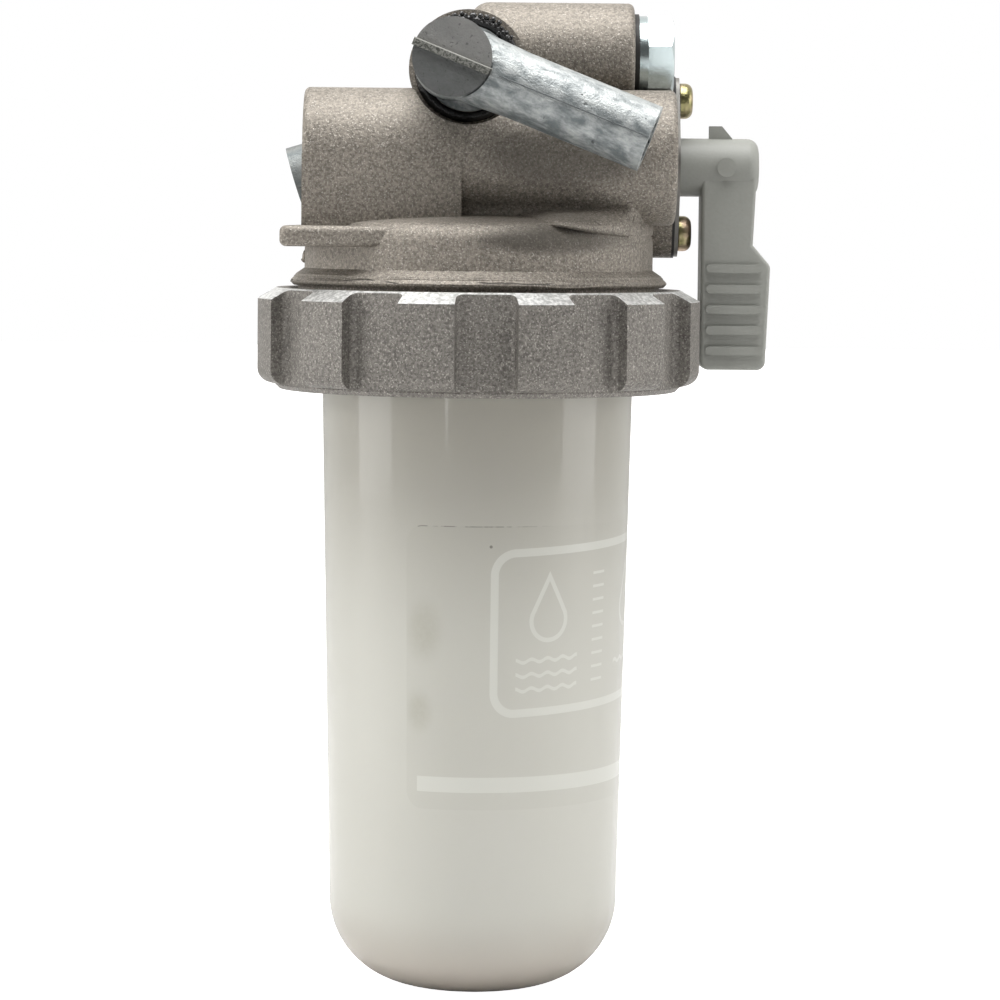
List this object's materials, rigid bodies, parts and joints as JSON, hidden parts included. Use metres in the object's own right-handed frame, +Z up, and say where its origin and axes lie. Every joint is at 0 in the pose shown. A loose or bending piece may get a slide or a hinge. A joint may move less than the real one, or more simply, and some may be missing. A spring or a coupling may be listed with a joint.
{
  "type": "fuel water separator",
  "caption": "Cast head with two hose elbows and a lever shut-off cock over a milky settling cup held by a lugged ring nut, with a pleated element and a float ring inside.",
  "frame": {"origin": "centre of the cup's flat foot, on the cup's axis", "axes": "+Z up the cup's axis, +X towards the cock lever, +Y away from the inlet elbow"},
  "size_m": [0.1178, 0.1107, 0.2242],
  "materials": {
    "head_alloy": "sand-grained die casting",
    "ring_alloy": "grained die casting with machined chamfers",
    "cup_plastic": "milky translucent",
    "black_rubber": "matt",
    "elbow_alloy": "bluish bare die casting",
    "plated_steel": "bright zinc",
    "plate_steel": "dull",
    "yellow_zinc": "yellow zinc",
    "lever_plastic": "satin grey",
    "spool_brass": "turned",
    "tube_steel": "plain",
    "element_steel": "tinned",
    "filter_paper": "resin-treated pleated paper",
    "float_plastic": "plain moulded"
  },
  "bodies": {
    "head": {"head_casting": "head_alloy", "inlet_elbow": "elbow_alloy", "inlet_sealant": "black_rubber", "outlet_elbow": "elbow_alloy", "outlet_sealant": "black_rubber", "gallery_plug": "plated_steel", "plug_washer": "black_rubber", "cock_gasket": "black_rubber", "retaining_plate": "plate_steel", "plate_screws": "yellow_zinc", "centre_tube": "tube_steel", "element_top_cap": "element_steel", "element_bottom_cap": "element_steel", "filter_media": "filter_paper", "element_core": "element_steel", "element_seal": "black_rubber"},
    "cup": {"cup": "cup_plastic", "cup_gasket": "black_rubber"},
    "ring": {"ring_nut": "ring_alloy"},
    "cock": {"lever": "lever_plastic", "cock_spool": "spool_brass", "spool_seals": "black_rubber"},
    "float": {"float_ring": "float_plastic"}
  },
  "joints": [
    {"name": "cup_drop", "type": "slide", "parent": "head", "child": "cup", "axis": [0, 0, -1], "range_m": [0, 0.012]},
    {"name": "ring_turn", "type": "hinge", "parent": "cup", "child": "ring", "pos_m": [0, 0, 0.1475], "axis": [0, 0, -1], "range_deg": [0, 1440]},
    {"name": "lever_turn", "type": "hinge", "parent": "head", "child": "cock", "pos_m": [0.0446, 0.015, 0.1872], "axis": [1, 0, 0], "range_deg": [-90, 0]},
    {"name": "float_rise", "type": "slide", "parent": "cup", "child": "float", "axis": [0, 0, 1], "range_m": [0, 0.0645]}
  ],
  "couplings": [
    {"joint": "cup_drop", "follows": "ring_turn", "m_per_rad": 0.00047746}
  ]
}
